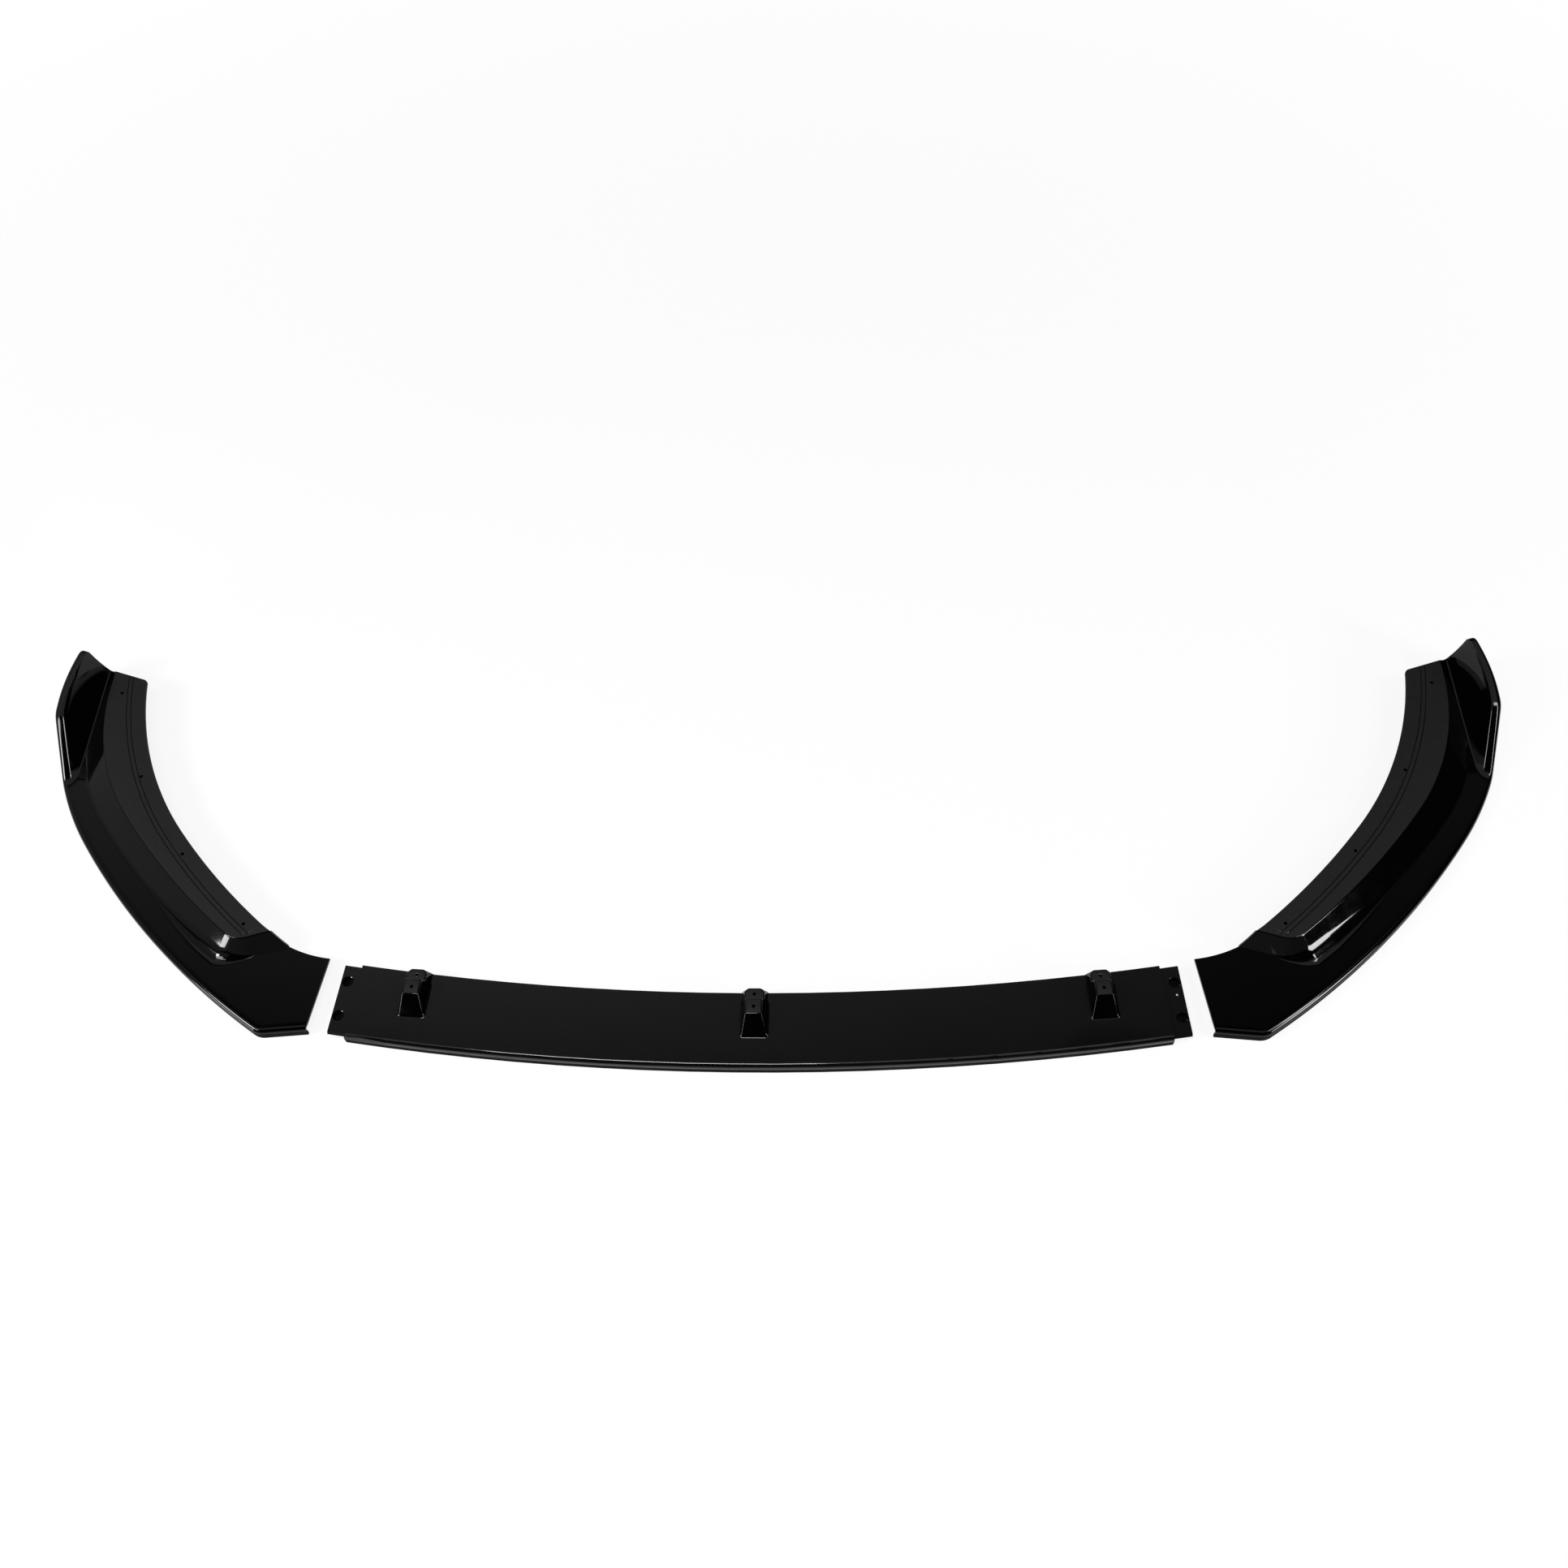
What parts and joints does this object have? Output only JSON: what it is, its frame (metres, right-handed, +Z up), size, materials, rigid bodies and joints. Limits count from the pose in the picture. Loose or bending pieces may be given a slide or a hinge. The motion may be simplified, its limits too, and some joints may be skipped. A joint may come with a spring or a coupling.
{
  "type": "front splitter lip",
  "caption": "Gloss black front splitter lip in separate mouldings: a bowed centre blade with screw towers, and curved wings with a raised flange, a ramp and an upright end fin.",
  "frame": {"origin": "middle of the laid-out set, on the plane its lower edges lie on", "axes": "+X across the car to the right in the picture, +Y to the rear, +Z up"},
  "size_m": [1.817, 0.5493, 0.0753],
  "materials": {
    "gloss_black": "smooth high-gloss black moulding"
  },
  "bodies": {
    "root": {"centre_section": "gloss_black", "left_wing": "gloss_black", "right_wing": "gloss_black"}
  },
  "joints": []
}
